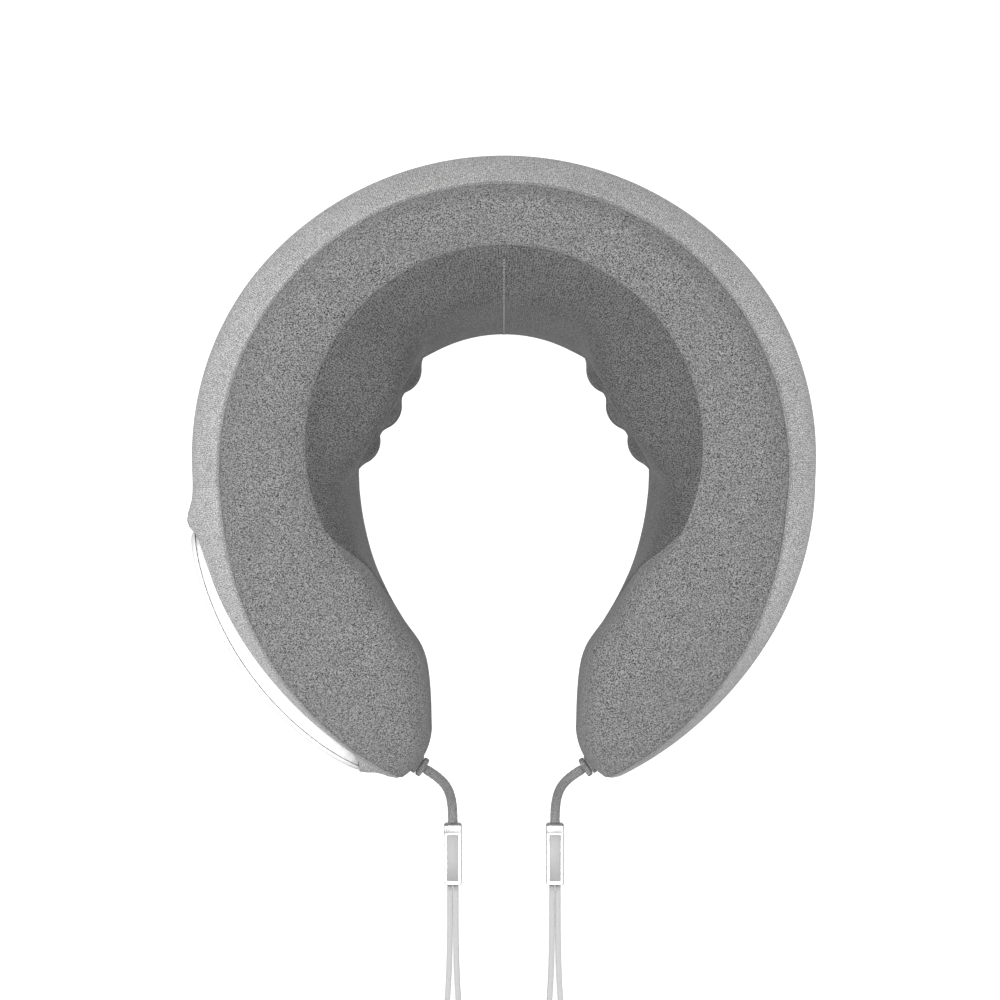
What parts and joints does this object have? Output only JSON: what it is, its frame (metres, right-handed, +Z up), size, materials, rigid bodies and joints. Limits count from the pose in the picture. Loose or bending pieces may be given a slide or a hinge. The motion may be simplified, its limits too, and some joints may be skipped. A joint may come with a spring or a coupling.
{
  "type": "shiatsu neck massager",
  "caption": "U-shaped soft neck massager with kneading heads under a stretch inner panel, flexing arms, a key pod on one arm and clasped hand loops at the arm tips.",
  "frame": {"origin": "centre of the neck opening on the base plane", "axes": "+Z up along the neck, +Y to the rear of the neck, the mouth of the U towards -Y; left and right as the wearer sees them with -Y in front"},
  "size_m": [0.3007, 0.5257, 0.1174],
  "materials": {
    "fleece_top": "melange fleece, short nap",
    "band_knit": "fine ribbed knit",
    "stretch_knit": "smooth stretch knit",
    "base_cloth": "tight woven cloth",
    "foam": "open-cell foam",
    "frame_plastic": "moulded, fine texture",
    "gearbox_plastic": "moulded, fine texture",
    "motor_steel": "rolled can",
    "steel": "turned",
    "worm_brass": "machined",
    "wheel_nylon": "moulded nylon",
    "node_silicone": "silicone skin",
    "battery_wrap": "heat-shrink sleeve",
    "board": "solder mask",
    "film": "polyimide film",
    "wire": "ribbon insulation",
    "pod_white": "satin white moulding",
    "key_strip": "gloss black moulding",
    "key_rubber": "matte keys",
    "lens": "frosted light guide",
    "clasp_metal": "polished edges, brushed face",
    "cord_knit": "knitted tube",
    "webbing": "woven webbing"
  },
  "bodies": {
    "core": {"frame_chassis": "frame_plastic", "core_foam": "foam", "top_panel": "fleece_top", "outer_band": "band_knit", "inner_panel": "stretch_knit", "bottom_panel": "base_cloth", "battery_cells": "battery_wrap", "battery_tray": "frame_plastic", "main_board": "board", "heating_film": "film", "wire_harness": "wire", "gearbox_screws": "steel", "left_gearbox_base": "gearbox_plastic", "left_gearbox_cover": "gearbox_plastic", "left_motor": "motor_steel", "left_flex_pin": "steel", "right_gearbox_base": "gearbox_plastic", "right_gearbox_cover": "gearbox_plastic", "right_motor": "motor_steel", "right_flex_pin": "steel"},
    "left_head": {"left_head_disc": "gearbox_plastic", "left_massage_nodes": "node_silicone", "left_head_shaft": "steel", "left_worm_wheel": "wheel_nylon", "left_stretch_patch": "stretch_knit"},
    "left_worm_rotor": {"left_worm": "worm_brass"},
    "left_arm": {"left_arm_spine": "frame_plastic", "left_arm_foam": "foam", "left_arm_cover": "fleece_top", "left_strap_tab": "cord_knit", "pod_shell": "pod_white", "pod_base": "pod_white", "pod_screws": "steel", "key_bezel": "key_strip", "key_board": "board", "usb_socket": "steel", "status_lens": "lens"},
    "left_cord_swing": {"left_cord": "cord_knit", "left_clasp": "clasp_metal"},
    "left_loop": {"left_hand_loop": "webbing"},
    "right_head": {"right_head_disc": "gearbox_plastic", "right_massage_nodes": "node_silicone", "right_head_shaft": "steel", "right_worm_wheel": "wheel_nylon", "right_stretch_patch": "stretch_knit"},
    "right_worm_rotor": {"right_worm": "worm_brass"},
    "right_arm": {"right_arm_spine": "frame_plastic", "right_arm_foam": "foam", "right_arm_cover": "fleece_top", "right_strap_tab": "cord_knit"},
    "right_cord_swing": {"right_cord": "cord_knit", "right_clasp": "clasp_metal"},
    "right_loop": {"right_hand_loop": "webbing"},
    "power_key": {"power_button": "key_rubber"},
    "mode_key": {"mode_button": "key_rubber"},
    "heat_key": {"heat_button": "key_rubber"}
  },
  "joints": [
    {"name": "left_head_spin", "type": "hinge", "parent": "core", "child": "left_head", "pos_m": [-0.08011, 0.04625, 0.046], "axis": [-0.866, 0.5, 0], "continuous": true},
    {"name": "left_worm_spin", "type": "hinge", "parent": "core", "child": "left_worm_rotor", "pos_m": [-0.08011, 0.04625, 0.02225], "axis": [0.5, 0.866, 0], "continuous": true},
    {"name": "left_arm_flex", "type": "hinge", "parent": "core", "child": "left_arm", "pos_m": [-0.12968, -0.00907, 0.042], "axis": [0, 0, -1], "range_deg": [0, 12], "stiffness_Nm_per_rad": 2},
    {"name": "left_cord_turn", "type": "hinge", "parent": "left_arm", "child": "left_cord_swing", "pos_m": [-0.03725, -0.14112, 0.03], "axis": [0, 0, -1], "range_deg": [-2, 40]},
    {"name": "left_loop_lift", "type": "hinge", "parent": "left_cord_swing", "child": "left_loop", "pos_m": [-0.025, -0.2038, 0.0062], "axis": [-1, 0, 0], "range_deg": [0, 80]},
    {"name": "right_head_spin", "type": "hinge", "parent": "core", "child": "right_head", "pos_m": [0.08011, 0.04625, 0.046], "axis": [0.866, 0.5, 0], "continuous": true},
    {"name": "right_worm_spin", "type": "hinge", "parent": "core", "child": "right_worm_rotor", "pos_m": [0.08011, 0.04625, 0.02225], "axis": [-0.5, 0.866, 0], "continuous": true},
    {"name": "right_arm_flex", "type": "hinge", "parent": "core", "child": "right_arm", "pos_m": [0.12968, -0.00907, 0.042], "axis": [0, 0, 1], "range_deg": [0, 12], "stiffness_Nm_per_rad": 2},
    {"name": "right_cord_turn", "type": "hinge", "parent": "right_arm", "child": "right_cord_swing", "pos_m": [0.03725, -0.14112, 0.03], "axis": [0, 0, 1], "range_deg": [-2, 40]},
    {"name": "right_loop_lift", "type": "hinge", "parent": "right_cord_swing", "child": "right_loop", "pos_m": [0.025, -0.2038, 0.0062], "axis": [-1, 0, 0], "range_deg": [0, 80]},
    {"name": "power_press", "type": "slide", "parent": "left_arm", "child": "power_key", "axis": [0.7716, 0.6361, 0], "range_m": [0, 0.0008], "stiffness_N_per_m": 400},
    {"name": "mode_press", "type": "slide", "parent": "left_arm", "child": "mode_key", "axis": [0.6947, 0.7193, 0], "range_m": [0, 0.0008], "stiffness_N_per_m": 400},
    {"name": "heat_press", "type": "slide", "parent": "left_arm", "child": "heat_key", "axis": [0.6088, 0.7934, 0], "range_m": [0, 0.0008], "stiffness_N_per_m": 400}
  ],
  "couplings": [
    {"joint": "left_worm_spin", "follows": "left_head_spin", "ratio": 30},
    {"joint": "right_worm_spin", "follows": "right_head_spin", "ratio": 30}
  ]
}
